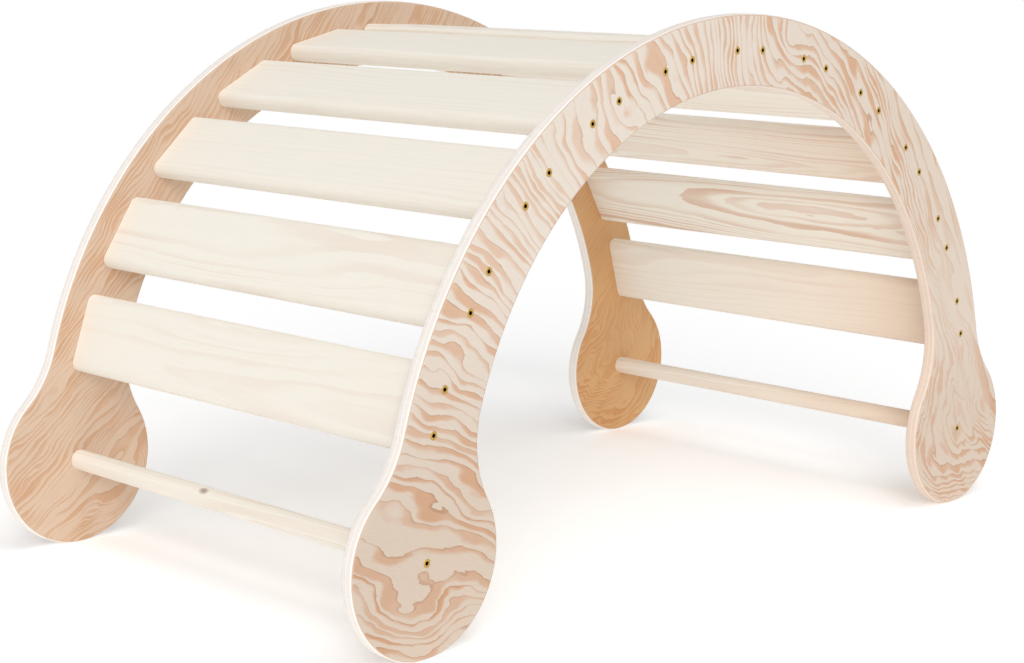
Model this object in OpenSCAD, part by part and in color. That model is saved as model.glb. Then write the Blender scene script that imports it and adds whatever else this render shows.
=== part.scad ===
// Wooden rocker arch for children: two plywood side panels, each an arch that ends in two round
// feet, joined by flat slats along the arch and by a round rod between the feet at each end.
// Turned over, the arches rock on the floor. X runs along the arch, Y across it and Z is up. The
// origin is on the floor, under the middle. All sizes are in millimetres, all angles in degrees.

/* [Side panels] */
// Radius of the arch along its outer edge
arch_r = 500; // [440:5:600]
// Width of the arch at its top
crown_w = 75; // [62:1:95]
// Width of the legs at the level of the arch's centre
leg_w = 100; // [85:1:118]
// Thickness of the plywood
panel_t = 15; // [12:1:24]
// Rounding along the edges of the panels
panel_edge = 3; // [2:0.5:5.5]

/* [Feet] */
// Radius of a round foot
foot_r = 93; // [82:1:110]
// Distance of a foot's centre inside the arch's outer edge
foot_inset = 47; // [35:1:60]
// Radius of the hollow between leg and foot on the outside
outer_neck_r = 120; // [60:5:170]
// Radius of the hollow between leg and foot on the inside
inner_neck_r = 110; // [60:5:160]

/* [Slats] */
// Distance between the two side panels
span = 530; // [400:5:800]
// Number of slats
slat_count = 11; // [7:1:11]
// Angle between one slat and the next, about the arch's centre
slat_angle = 14.5; // [13:0.1:14.8]
// Distance from the arch's outer edge in to the middle of a slat
slat_inset = 37.5; // [30:0.5:44]
// Width of a slat
slat_w = 85; // [66:1:96]
// Thickness of a slat
slat_t = 20; // [14:1:24]
// Rounding along the edges of the slats
slat_edge = 9; // [2:0.5:9.5]

/* [Rods] */
// Diameter of the rods between the feet
rod_d = 22; // [16:1:40]

/* [Screws] */
// Distance between the two screws in the end of a slat
screw_spacing = 43; // [30:1:50]
// Length of a screw
screw_l = 50; // [40:1:70]
// Diameter of a screw's smooth shank
shank_d = 6.3; // [5.6:0.1:7]
// Diameter of a screw's threaded part, taken as plain
thread_d = 5.4; // [4:0.1:5.6]
// Diameter of a screw's flush head
head_d = 8.5; // [7.6:0.1:10]
// Height of the straight rim of the head
head_rim = 0.6; // [0.3:0.1:1]
// Width across the flats of the hexagon socket
socket_w = 4; // [3:0.1:4.2]
// Depth of the hexagon socket
socket_depth = 2.6; // [1.5:0.1:4]
// Length of the smooth shank that reaches past the panel into the slat
shank_in = 5; // [2:0.5:12]
// Length of the tapered tip
tip_l = 3; // [1:0.5:5]
// Clearance all round a screw in its hole
screw_gap = 0.1; // [0.05:0.05:0.2]

/* [Hidden] */
SLATS = [for (i = [1:slat_count]) str("slat_", i < 10 ? "0" : "", i)];
RODS = ["grip_rod_left", "grip_rod_right"];
PANELS = ["side_panel_front", "side_panel_back"];

$fn = 96;
past = 1;             // how far rough wood and cuts run past a finished face
arc_past = 5;         // how many degrees an edge cut runs past the end of its arc
edge_steps = 3;       // flats that make up a rounded edge of a panel
slat_side = 1;        // least flat height of a slat's long side, between its rounded edges
drill_past = 1;       // how far a hole runs past the tip of its screw
tip_share = 1 / 3;    // how thick the end of a screw's tip is, as a share of its thread
veneer_color = "#e6cdb2";
slat_color = "#f0e2c9";
rod_color = "#efdfc4";
screw_color = "#a98b52";

arch_z = foot_r;                  // the arch's centre is level with the centres of the feet
half_out = span / 2 + panel_t;    // from the middle to a panel's outer face
opening_top = arch_r - crown_w;
opening_side = arch_r - leg_w;
// The opening is one arc through its top and its sides, so its centre lies above the arch's
opening_rise = (opening_top ^ 2 - opening_side ^ 2) / (2 * opening_top);
opening_r = opening_top - opening_rise;
slat_ring_r = arch_r - slat_inset;
slat_corner_r = min(slat_edge, (slat_t - slat_side) / 2);

// Places in a panel's own plane, measured from the arch's centre, for the foot on the +X side
arch_c = [0, 0];
opening_c = [0, opening_rise];
foot_c = [arch_r - foot_inset, 0];
outer_neck_c = circles_meet(arch_c, arch_r + outer_neck_r, foot_c, foot_r + outer_neck_r, 1);
inner_neck_c = circles_meet(opening_c, opening_r - inner_neck_r, foot_c, foot_r + inner_neck_r, 1);
// The arch ends and the neck begins along a line through the leg. It runs in from the centre of one
// hollow and out to the centre of the other, so it crosses both edges where their arcs meet
outer_turn = outer_neck_c * (arch_r - leg_w / 3) / (arch_r + outer_neck_r);
inner_turn = opening_c + (inner_neck_c - opening_c) * (opening_r + leg_w / 3) / (opening_r - inner_neck_r);
leg_line = [outer_neck_c, outer_turn, inner_turn, inner_neck_c];
neck_area = concat(leg_line, [foot_c]);
arch_area = concat(leg_line, mirrored(leg_line), [[-2 * arch_r, 2 * arch_r], [2 * arch_r, 2 * arch_r]]);

// The point where a circle of radius ra about a meets one of radius rb about b, to the left of the
// line from a to b for side 1 and to the right of it for side -1
function circles_meet(a, ra, b, rb, side) =
    let (d = norm(b - a), u = (b - a) / d, along = (d ^ 2 + ra ^ 2 - rb ^ 2) / (2 * d))
    a + along * u + side * sqrt(ra ^ 2 - along ^ 2) * [-u[1], u[0]];

// The direction from one point to another, in degrees from +X
function direction(from, to) = atan2(to[1] - from[1], to[0] - from[0]);

// Points mirrored to the -X side, in reverse order
function mirrored(points) = [for (k = [len(points) - 1:-1:0]) [-points[k][0], points[k][1]]];

function slat_turn(i) = (i - (slat_count + 1) / 2) * slat_angle;

// Puts a piece drawn about the arch's centre, with the panel's plane as XY, upright in the frame,
// with its XY plane on the outer face of the front panel
module stand_up() {
    translate([0, -half_out, arch_z]) rotate([90, 0, 0]) mirror([0, 0, 1]) children();
}

// ---- side panels ----

// A point of a rounded corner along an edge of radius r, as [radius, depth below the face]
function corner_point(r, side, k) = let (a = 90 * k / edge_steps)
    [r - side * panel_edge * (1 - sin(a)), panel_edge * (1 - cos(a))];

// What finishing an edge along an arc of radius r takes off: both rounded corners and the rough
// wood that stands past the edge. side is 1 where the wood is inside the arc, -1 where it is outside
module edge_cut(centre, r, side, from, to) {
    above_face = 2 * corner_point(r, side, 0) - corner_point(r, side, 1);
    corner = concat([above_face], [for (k = [1:edge_steps]) corner_point(r, side, k)]);
    other_corner = [for (k = [edge_steps:-1:0]) [corner[k][0], panel_t - corner[k][1]]];
    beyond = [for (z = [panel_t + past, -past]) [r + side * 2 * past, z]];
    translate(centre) rotate([0, 0, from]) rotate_extrude(angle = to - from)
        polygon(concat(corner, other_corner, beyond));
}

module arch_piece() {
    outer_end = direction(arch_c, outer_neck_c) - arc_past;
    inner_end = direction(opening_c, inner_neck_c) - arc_past;
    difference() {
        linear_extrude(panel_t) intersection() {
            difference() {
                circle(r = arch_r + past);
                translate(opening_c) circle(r = opening_r - past);
            }
            polygon(arch_area);
        }
        edge_cut(arch_c, arch_r, 1, outer_end, 180 - outer_end);
        edge_cut(opening_c, opening_r, -1, inner_end, 180 - inner_end);
    }
}

module neck_piece() {
    difference() {
        linear_extrude(panel_t) difference() {
            polygon(neck_area);
            translate(outer_neck_c) circle(r = outer_neck_r - past);
            translate(inner_neck_c) circle(r = inner_neck_r - past);
        }
        edge_cut(outer_neck_c, outer_neck_r, -1,
            direction(outer_neck_c, arch_c) - arc_past, direction(outer_neck_c, foot_c) + arc_past);
        edge_cut(inner_neck_c, inner_neck_r, -1,
            direction(inner_neck_c, foot_c) - arc_past, direction(opening_c, inner_neck_c) + arc_past);
    }
}

module foot_piece() {
    difference() {
        linear_extrude(panel_t) difference() {
            translate(foot_c) circle(r = foot_r + past);
            polygon(neck_area);
        }
        edge_cut(foot_c, foot_r, 1, 0, 360);
    }
}

// Arch, neck and foot meet along plain lines. A round patch across the middle of each line makes
// them run into each other, so that they are one sheet
module joint_patches() {
    translate((outer_turn + inner_turn) / 2) cylinder(h = panel_t, r = leg_w / 4);
    translate(foot_c) cylinder(h = panel_t, r = foot_r / 2);
}

module panel_blank() {
    arch_piece();
    for (side = [0, 1]) mirror([side, 0, 0]) {
        neck_piece();
        foot_piece();
        joint_patches();
    }
}

module side_panel() {
    color(veneer_color) difference() {
        stand_up() panel_blank();
        for (i = [1:slat_count]) slat_screw_places(i) front_end() screw_hole();
        for (side = [-1, 1]) rod_place(side) front_end() screw_hole();
    }
}

// ---- slats and rods ----

// Turns a piece from the top of the arch to the place of slat i
module slat_place(i) {
    translate([0, 0, arch_z]) rotate([0, slat_turn(i), 0]) translate([0, 0, slat_ring_r]) children();
}

module slat_screw_places(i) {
    slat_place(i) for (side = [-1, 1]) translate([side * screw_spacing / 2, 0, 0]) children();
}

module rod_place(side) {
    translate([side * foot_c[0], 0, arch_z]) children();
}

// A rectangle with rounded corners
module rounded_rectangle(w, h, r) {
    square([w - 2 * r, h], center = true);
    for (x = [-1, 1]) scale([x, 1]) translate([w / 2 - r, 0]) {
        translate([0, r - h / 2]) square([r, h - 2 * r]);
        for (z = [-1, 1]) scale([1, z]) translate([0, h / 2 - r]) intersection() {
            circle(r = r);
            square(r);
        }
    }
}

module slat(i) {
    color(slat_color) difference() {
        slat_place(i) rotate([90, 0, 0]) linear_extrude(span, center = true)
            rounded_rectangle(slat_w, slat_t, slat_corner_r);
        slat_screw_places(i) both_ends() screw_hole();
    }
}

module rod(side) {
    color(rod_color) rod_place(side) difference() {
        rotate([90, 0, 0]) cylinder(h = span, d = rod_d, center = true);
        both_ends() screw_hole();
    }
}

// ---- screws ----

// Puts a screw drawn from its head along +Z into the outer face of the front panel
module front_end() {
    translate([0, -half_out, 0]) rotate([-90, 0, 0]) children();
}

module both_ends() {
    for (side = [0, 1]) mirror([0, side, 0]) front_end() children();
}

// Half the outline of a screw, head at z = 0 and tip at z = length. extra is added all round
function screw_profile(extra, length, top) =
    let (r_head = head_d / 2 + extra, r_shank = shank_d / 2 + extra, r_thread = thread_d / 2 + extra,
        z_cone = head_rim + r_head - r_shank, z_shank = panel_t + shank_in)
    [[0, -top], [r_head, -top], [r_head, head_rim], [r_shank, z_cone], [r_shank, z_shank],
        [r_thread, z_shank + shank_d / 2 - thread_d / 2], [r_thread, length - tip_l],
        [r_thread * tip_share, length], [0, length]];

module screw() {
    color(screw_color) difference() {
        rotate_extrude() polygon(screw_profile(0, screw_l, 0));
        translate([0, 0, -past]) cylinder(h = socket_depth + past, d = socket_w / cos(30), $fn = 6);
    }
}

module screw_hole() {
    rotate_extrude() polygon(screw_profile(screw_gap, screw_l + drill_past, past));
}

module slat_screws(i) {
    slat_screw_places(i) both_ends() screw();
}

module rod_screws(side) {
    rod_place(side) both_ends() screw();
}

side_panel();  // side_panel_front
mirror([0, 1, 0]) side_panel();  // side_panel_back
for (i = [1:slat_count]) slat(i);
for (i = [1:slat_count]) slat_screws(i);
for (k = [0, 1]) rod(2 * k - 1);
for (k = [0, 1]) rod_screws(2 * k - 1);
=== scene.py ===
"""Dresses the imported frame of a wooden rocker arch: plywood side panels with a bold rotary-cut veneer,
pine slats and rods, and yellow zinc-plated screws, on a plain pale floor.

It is laid out as an add-on: each piece or group of like pieces is made by its own operator, and the
sizes and colours that a user would change are properties. Lengths are in metres, as in the frame."""

import math
import random

import bmesh
import bpy
from bpy.props import FloatProperty, FloatVectorProperty, PointerProperty
from mathutils import Matrix, Vector


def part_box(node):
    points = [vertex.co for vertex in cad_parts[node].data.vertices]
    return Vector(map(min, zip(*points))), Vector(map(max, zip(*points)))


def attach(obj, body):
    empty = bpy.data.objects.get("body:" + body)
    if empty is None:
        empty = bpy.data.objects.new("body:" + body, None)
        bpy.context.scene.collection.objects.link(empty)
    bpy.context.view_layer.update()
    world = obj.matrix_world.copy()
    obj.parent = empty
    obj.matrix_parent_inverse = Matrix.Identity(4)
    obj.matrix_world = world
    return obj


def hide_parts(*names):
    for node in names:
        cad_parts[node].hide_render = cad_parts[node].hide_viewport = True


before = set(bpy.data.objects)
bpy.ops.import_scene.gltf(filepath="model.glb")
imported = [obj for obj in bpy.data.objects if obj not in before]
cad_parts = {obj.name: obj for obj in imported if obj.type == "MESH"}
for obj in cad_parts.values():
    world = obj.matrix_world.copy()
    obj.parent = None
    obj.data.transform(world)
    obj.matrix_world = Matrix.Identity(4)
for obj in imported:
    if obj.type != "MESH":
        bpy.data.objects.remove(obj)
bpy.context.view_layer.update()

bl_info = {
    "name": "Wooden Rocker Arch",
    "version": (1, 0, 0),
    "blender": (4, 5, 0),
    "location": "View3D > Sidebar > Rocker Arch",
    "description": "Makes the plywood panels, pine slats and rods, screws and stage of a rocker arch",
    "category": "Add Mesh",
}

MM = 0.001
UP = Vector((0, 0, 1))
ACROSS = Vector((0, 1, 0))


# ---- sizes read from the frame ----

def node_middle(node):
    """The middle of a CAD node's box."""
    low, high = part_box(node)
    return (low + high) / 2


def node_size(node):
    """The width, depth and height of a CAD node's box."""
    low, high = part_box(node)
    return high - low


SLATS = sorted(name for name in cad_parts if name.startswith("slat_") and not name.endswith("_screws"))
TOP_SLAT = SLATS[len(SLATS) // 2]
RODS = ("grip_rod_left", "grip_rod_right")

PANEL_LOW, PANEL_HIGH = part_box("side_panel_front")
PANEL_THICK = PANEL_HIGH.y - PANEL_LOW.y
OUTER_FACE = -PANEL_LOW.y
INNER_FACE = -PANEL_HIGH.y

# Places in a panel's own plane have y = 0
FOOT = node_middle(RODS[1])
FOOT_RADIUS = FOOT.z - PANEL_LOW.z
ARCH = Vector((0, 0, FOOT.z))
ARCH_RADIUS = PANEL_HIGH.z - ARCH.z

SLAT_WIDTH, SLAT_LENGTH, SLAT_THICK = node_size(TOP_SLAT)
SLAT_RING = node_middle(TOP_SLAT).z - ARCH.z
ROD_RADIUS = node_size(RODS[0]).x / 2
HEAD_RADIUS = node_size(RODS[0] + "_screws").x / 2
SCREW_SPACING = node_size(TOP_SLAT + "_screws").x - 2 * HEAD_RADIUS

ARC_ERROR = 0.03 * MM       # how far a flat may lie from the true arc
TINY = 0.001 * MM           # points closer than this are one point
CREASE = math.radians(28)   # edges that turn more than this are shaded sharp

# How many flats make a round
HEAD_SIDES = 24             # a screw, and its hole in a panel
PILOT_SIDES = 20            # a pilot hole in a slat
ROD_SIDES = 48
PANEL_EDGE_STEPS = 6        # the quarter round along a panel's edge
SLAT_EDGE_STEPS = 7         # the quarter round along a slat's edge
THREAD_STEPS = 16           # one turn of a thread
FLOOR_SIDES = 64

# Places among a node's outputs
COORDINATE_OBJECT = 3       # Object, of Texture Coordinate
ATTRIBUTE_VECTOR = 1
ATTRIBUTE_FACTOR = 2


def slat_place(node):
    """Turns a piece from the middle of the arch's plane to the place of a slat."""
    out = node_middle(node) - ARCH
    turn = Matrix.Rotation(math.atan2(out.x, out.z), 4, "Y")
    return Matrix.Translation(ARCH) @ turn @ Matrix.Translation(UP * SLAT_RING)


def slat_screw_heads(node):
    """The places, in the plane of a panel, of the two screws that hold one end of a slat."""
    return [slat_place(node) @ Vector((side * SCREW_SPACING / 2, 0, 0)) for side in (-1, 1)]


# ---- settings ----

def linear(hex_colour):
    """An sRGB hex colour as the linear colour that Blender works in."""
    parts = [int(hex_colour[k:k + 2], 16) / 255 for k in (1, 3, 5)]
    return tuple(v / 12.92 if v <= 0.04045 else ((v + 0.055) / 1.055) ** 2.4 for v in parts) + (1.0,)


def length(name, description, default):
    """A property for a length given in millimetres."""
    return FloatProperty(name=name, description=description, default=default * MM, min=0, unit="LENGTH",
                         subtype="DISTANCE")


def colour(name, description, default):
    """A property for a colour given as sRGB hex."""
    return FloatVectorProperty(name=name, description=description, default=linear(default), size=4, min=0,
                               max=1, subtype="COLOR")


class PanelSettings(bpy.types.PropertyGroup):
    """Sizes and colours of the plywood side panels"""
    crown_width: length("Crown width", "Width of the arch at its top", 75)
    leg_width: length("Leg width", "Width of the legs at the level of the arch's centre", 100)
    edge_radius: length("Edge rounding", "Rounding along the edges of the panels", 3)
    outer_neck: length("Outer neck", "Radius of the hollow between leg and foot on the outside", 120)
    inner_neck: length("Inner neck", "Radius of the hollow between leg and foot on the inside", 110)
    ring_width: length("Ring width", "Distance between two growth rings on the veneer", 11.5)
    cream: colour("Cream", "Early wood of the three pale veneers", "#e8dccf")
    band: colour("Band", "Late wood bands of the three pale veneers", "#dbae8b")
    line: colour("Line", "Sharp edge of a late wood band", "#bb967a")
    # The back panel's inner veneer is darker and more orange, partly its own tone and partly painted shade
    # from the slats above it; its golden tint at the right end is partly its own tone and partly painted
    # warm shade under the arch
    tan: colour("Tan", "Early wood of the veneer inside the back panel", "#dabfa7")
    amber: colour("Amber", "Late wood bands of the veneer inside the back panel", "#cfa27e")
    golden: colour("Golden", "Tint of the veneer inside the back panel, at its right end", "#ffe6bb")
    # Partly the veneer's own tone and partly painted shade; at the feet it is painted shade
    warm: colour("Warm", "Tint of the pale veneers towards their right end and feet", "#ece4dd")
    # Painted shade on the front panel's plies towards the right end
    plies_shade: colour("Warm plies", "Tint of the front panel's plies at their right end", "#e2c8b4")
    rim: colour("Veneer rim", "Cut edge of the face veneer", "#d3b8a2")
    ply_long: colour("Long ply", "Plies that show their long grain along the edge", "#faf5ef")
    ply_end: colour("End ply", "Plies that show their end grain along the edge", "#f6eee6")
    glue: colour("Glue line", "Thin line of glue between two plies", "#e0d0c2")


class PineSettings(bpy.types.PropertyGroup):
    """Sizes and colours of the pine slats and rods"""
    edge_radius: length("Edge rounding", "Rounding along the edges of the slats", 9)
    eased_end: length("Eased end", "Small chamfer where the ends were sanded", 0.5)
    ring_width: length("Ring width", "Distance between two growth rings in a board", 4.5)
    early: colour("Early wood", "Pale wood that makes up most of each ring", "#f5efe3")
    late: colour("Late wood", "Darker wood at the end of each ring", "#d8b196")
    # Painted shade: the warmer, darker tint for board ends that lie in the front panel's shade
    end_shade_colour: colour("Heart wood", "Warmer wood, towards one end of some boards", "#e3c0a2")
    knot: colour("Knot", "The small knot in the left rod", "#a08878")


class ScrewSettings(bpy.types.PropertyGroup):
    """Sizes and colours of the connector screws"""
    length: length("Length", "Length of a screw", 50)
    shank: length("Shank", "Diameter of the smooth shank", 6.3)
    shank_in: length("Shank in wood", "Length of the shank that reaches past the panel", 5)
    core: length("Core", "Diameter of the thread's core", 4.4)
    thread: length("Thread", "Diameter of the hole that the thread runs in", 5.4)
    pitch: length("Pitch", "Distance between two turns of the thread", 2.8)
    rim: length("Rim", "Height of the straight rim of the head", 0.6)
    socket: length("Socket", "Width across the flats of the hexagon socket", 4)
    socket_depth: length("Socket depth", "Depth of the hexagon socket", 2.6)
    tip: length("Tip", "Length of the tapered tip", 3)
    gap: length("Gap", "Clearance all round a screw in its hole", 0.1)
    zinc: colour("Zinc", "Yellow zinc plating", "#c9a04e")
    pale_zinc: colour("Pale zinc", "Paler places in the plating", "#c8aa64")
    # Partly dusty plating and partly painted shade in the socket
    socket_dust_and_shade: colour("Sunk zinc", "Thin, dusty plating in the socket", "#2a1d0c")


class StageSettings(bpy.types.PropertyGroup):
    """Colour of the floor"""
    floor: colour("Floor", "Floor colour in the light that it throws on the object", "#f1f1f1")


class RockerArchSettings(bpy.types.PropertyGroup):
    """Everything that can be set on the rocker arch"""
    panels: PointerProperty(type=PanelSettings)
    pine: PointerProperty(type=PineSettings)
    screws: PointerProperty(type=ScrewSettings)
    stage: PointerProperty(type=StageSettings)


# ---- helpers for nodes and meshes ----

def add(tree, kind, inputs=(), **settings):
    """Adds a node, makes its settings, fills or links its inputs, and returns its outputs.

    inputs maps an input's name, or its place among the inputs in use, to a value or a socket."""
    node = tree.nodes.new(kind)
    for name, value in settings.items():
        setattr(node, name, value)
    in_use = [socket for socket in node.inputs if socket.enabled]
    for key, value in dict(inputs).items():
        socket = node.inputs[key] if isinstance(key, str) else in_use[key]
        if isinstance(value, bpy.types.NodeSocket):
            tree.links.new(value, socket)
        else:
            socket.default_value = value
    return [socket for socket in node.outputs if socket.enabled]


def new_material(name):
    """A material with an empty node tree."""
    material = bpy.data.materials.new(name)
    material.use_nodes = True
    material.node_tree.nodes.clear()
    return material


def arc_steps(radius, angle):
    """How many flats keep an arc within ARC_ERROR of its true curve."""
    return max(1, math.ceil(abs(angle) / (2 * math.acos(1 - ARC_ERROR / radius))))


def turn_profile(bm, profile, start, axis, steps):
    """Spins a line of (radius, distance along the axis) points once round an axis through start."""
    side = axis.orthogonal().normalized()
    verts = [bm.verts.new(start + side * radius + axis * along) for radius, along in profile]
    edges = [bm.edges.new(pair) for pair in zip(verts, verts[1:])]
    bmesh.ops.spin(bm, geom=verts + edges, cent=start, axis=axis, angle=math.tau, steps=steps,
                   use_merge=True)


def shade_smooth(bm):
    """Shades every face so far smooth. Flat faces are filled in after it, and stay flat."""
    for face in bm.faces:
        face.smooth = True


def fill_plane(bm, y):
    """Closes the open edges that lie in the plane at y with flat faces."""
    edges = [e for e in bm.edges if e.is_boundary and all(abs(v.co.y - y) < TINY for v in e.verts)]
    bmesh.ops.triangle_fill(bm, edges=edges, use_beauty=True, normal=ACROSS)


def mirror(bm, axis):
    """Adds the mirror image across the plane through the origin and joins it on."""
    everything = bm.verts[:] + bm.edges[:] + bm.faces[:]
    bmesh.ops.mirror(bm, geom=everything, matrix=Matrix.Identity(4), merge_dist=TINY, axis=axis)


def close_shell(bm):
    """Merges doubles, turns the faces outward and marks the sharp edges."""
    bmesh.ops.remove_doubles(bm, verts=bm.verts, dist=TINY)
    bmesh.ops.recalc_face_normals(bm, faces=bm.faces)
    for edge in bm.edges:
        edge.smooth = edge.calc_face_angle(0) < CREASE


def finish_piece(bm, name, node, material):
    """Makes the object of a finished mesh, which stands for a CAD node and rides on the one body."""
    mesh = bpy.data.meshes.new(name)
    bm.to_mesh(mesh)
    bm.free()
    mesh.materials.append(material)
    piece = bpy.data.objects.new(name, mesh)
    bpy.context.collection.objects.link(piece)
    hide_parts(node)
    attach(piece, "root")


# ---- wood, as the panels, slats and rods share it ----

WOOD_IOR = 1.5
WOOD_SPECULAR = 0.35        # bare wood scatters most of its gloss
FIBRE_HEIGHT = 0.1 * MM


def grain_noise(tree, place, size_mm, detail=1.0):
    """Noise whose patches are about as large as size_mm along the three axes of place."""
    stretch = tuple(1 / size for size in size_mm)
    stretched = add(tree, "ShaderNodeVectorMath", {0: place, 1: stretch}, operation="MULTIPLY")[0]
    return add(tree, "ShaderNodeTexNoise", {0: stretched, "Scale": 1.0, "Detail": detail})[0]


def wavy(tree, distance, place, waves):
    """Adds a log's own waves to a distance. Each of them has its size along the three axes of place
    and how far it swings, in millimetres."""
    for size_mm, swing_mm in waves:
        noise = grain_noise(tree, place, size_mm)
        swing = add(tree, "ShaderNodeMapRange", {0: noise, 3: -swing_mm, 4: swing_mm}, clamp=False)[0]
        distance = add(tree, "ShaderNodeMath", {0: distance, 1: swing}, operation="ADD")[0]
    return distance


def growth_rings(tree, distance, ring_mm, years, soft, widest, narrowest, palest, swell=0.0):
    """The growth rings along a distance in millimetres, wide in some years of the tree and narrow in
    others: years is how quickly that changes and by how many rings it moves one. In each ring the late
    wood rises softly and ends sharply, on a share of its own that swell adds to.

    Gives the late wood from 0 to 1, the ring's depth of colour from palest to 1, and the place in it."""
    pace, move = years
    count = add(tree, "ShaderNodeMath", {0: distance, 1: ring_mm}, operation="DIVIDE")[0]
    year = add(tree, "ShaderNodeTexNoise", {"W": count, "Scale": pace, "Detail": 0.0},
               noise_dimensions="1D")[0]
    shift = add(tree, "ShaderNodeMapRange", {0: year, 3: -move, 4: move}, clamp=False)[0]
    phase = add(tree, "ShaderNodeMath", {0: count, 1: shift}, operation="ADD")[0]
    ring = add(tree, "ShaderNodeMath", {0: phase}, operation="FLOOR")[0]
    within = add(tree, "ShaderNodeMath", {0: phase}, operation="FRACT")[0]
    own, own_colour = add(tree, "ShaderNodeTexWhiteNoise", {"W": ring}, noise_dimensions="1D")
    own_start = add(tree, "ShaderNodeMapRange", {0: own, 3: 1 - narrowest, 4: 1 - widest})[0]
    start = add(tree, "ShaderNodeMath", {0: own_start, 1: swell}, operation="SUBTRACT")[0]
    full = add(tree, "ShaderNodeMath", {0: start, 1: soft}, operation="ADD")[0]
    late = add(tree, "ShaderNodeMapRange", {0: within, 1: start, 2: full},
               interpolation_type="SMOOTHSTEP")[0]
    second_own = add(tree, "ShaderNodeSeparateColor", {0: own_colour})[1]
    depth = add(tree, "ShaderNodeMapRange", {0: second_own, 3: palest, 4: 1.0})[0]
    return late, depth, within


def bare_wood(tree, wood, band, place, fibre_mm, shades, relief, rough):
    """Finishes a material as sanded wood that is left bare and matt. Fine fibres, about half a
    millimetre wide and a centimetre or more long, shade it between shades, and stand out a little, as
    the bands do. rough is the roughness of the early and of the late wood."""
    fibres = grain_noise(tree, place, fibre_mm, detail=2.0)
    shade = add(tree, "ShaderNodeMapRange", {0: fibres, 1: 0.25, 2: 0.75, 3: shades[0], 4: shades[1]})[0]
    shaded = add(tree, "ShaderNodeVectorMath", {0: wood, "Scale": shade}, operation="SCALE")[0]
    height = add(tree, "ShaderNodeMath", {0: band, 1: relief, 2: fibres}, operation="MULTIPLY_ADD")[0]
    bump = add(tree, "ShaderNodeBump", {"Height": height, "Strength": 0.25, "Distance": FIBRE_HEIGHT})[0]
    roughness = add(tree, "ShaderNodeMapRange", {0: band, 3: rough[0], 4: rough[1]})[0]
    look = {"Base Color": shaded, "Roughness": roughness, "Normal": bump, "IOR": WOOD_IOR,
            "Specular IOR Level": WOOD_SPECULAR}
    shader = add(tree, "ShaderNodeBsdfPrincipled", look)[0]
    add(tree, "ShaderNodeOutputMaterial", {"Surface": shader})


# ---- plywood side panels ----

def circles_meet(a, radius_a, b, radius_b):
    """The point above the line from a to b that lies radius_a from a and radius_b from b."""
    line = b - a
    along = (line.length_squared + radius_a**2 - radius_b**2) / (2 * line.length)
    up = math.sqrt(radius_a**2 - along**2)
    ahead = line.normalized()
    return a + ahead * along + Vector((-ahead.z, 0, ahead.x)) * up


def outline_arcs(sizes):
    """The arcs along the right half of a panel's outline, from the top of the arch round the foot to
    the top of the opening, as (centre, radius, angle). A positive angle turns clockwise from the front."""
    opening_top = ARCH_RADIUS - sizes.crown_width
    opening_side = ARCH_RADIUS - sizes.leg_width
    opening_rise = (opening_top**2 - opening_side**2) / (2 * opening_top)
    opening_radius = opening_top - opening_rise
    opening = ARCH + UP * opening_rise
    outer = circles_meet(ARCH, ARCH_RADIUS + sizes.outer_neck, FOOT, FOOT_RADIUS + sizes.outer_neck)
    inner = circles_meet(opening, opening_radius - sizes.inner_neck, FOOT, FOOT_RADIUS + sizes.inner_neck)
    stretches = [
        (ARCH, ARCH_RADIUS, UP, outer - ARCH, 1),
        (outer, sizes.outer_neck, ARCH - outer, FOOT - outer, -1),
        (FOOT, FOOT_RADIUS, outer - FOOT, inner - FOOT, 1),
        (inner, sizes.inner_neck, FOOT - inner, inner - opening, -1),
        (opening, opening_radius, inner - opening, UP, -1),
    ]
    arcs = []
    for centre, radius, start, end, way in stretches:
        turn = math.atan2(start.z, start.x) - math.atan2(end.z, end.x)
        arcs.append((centre, radius, way * (turn * way % math.tau)))
    return arcs


def edge_profile(bm, radius):
    """Draws the rounded edge of the front panel in the plane x = 0, at the top of the arch."""
    level = PANEL_HIGH.z - radius
    face = bm.verts.new((0, -OUTER_FACE, level))
    outer_corner = {"cent": (0, radius - OUTER_FACE, level), "axis": (1, 0, 0), "angle": -math.pi / 2}
    bmesh.ops.spin(bm, geom=[face], steps=PANEL_EDGE_STEPS, **outer_corner)
    top = max(bm.verts, key=lambda vert: vert.co.z)
    straight = bmesh.ops.extrude_vert_indiv(bm, verts=[top])["verts"]
    bmesh.ops.translate(bm, verts=straight, vec=ACROSS * (PANEL_THICK - 2 * radius))
    inner_corner = {"cent": (0, -INNER_FACE - radius, level), "axis": (1, 0, 0), "angle": -math.pi / 2}
    bmesh.ops.spin(bm, geom=straight, steps=PANEL_EDGE_STEPS, **inner_corner)
    return bm.verts[:] + bm.edges[:]


def hole_profile(screw):
    """A countersunk screw hole in a panel, from its outer face to its inner face."""
    head = HEAD_RADIUS + screw.gap
    shank = screw.shank / 2 + screw.gap
    return [(head, 0), (head, screw.rim), (shank, screw.rim + head - shank), (shank, PANEL_THICK)]


def panel_shape(sizes, screw):
    """The front panel: its edge is spun along the arcs of the outline, then its faces are filled."""
    bm = bmesh.new()
    profile = edge_profile(bm, sizes.edge_radius)
    for centre, radius, angle in outline_arcs(sizes):
        spun = bmesh.ops.spin(bm, geom=profile, cent=centre, axis=ACROSS, angle=angle,
                              steps=arc_steps(radius, angle))
        profile = [part for part in spun["geom_last"] if not isinstance(part, bmesh.types.BMFace)]
    mirror(bm, "X")
    heads = [head for node in SLATS for head in slat_screw_heads(node)]
    heads += [node_middle(node) for node in RODS]
    for head in heads:
        turn_profile(bm, hole_profile(screw), head - ACROSS * OUTER_FACE, ACROSS, HEAD_SIDES)
    bmesh.ops.remove_doubles(bm, verts=bm.verts, dist=TINY)
    shade_smooth(bm)
    fill_plane(bm, -OUTER_FACE)
    fill_plane(bm, -INNER_FACE)
    return bm


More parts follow.
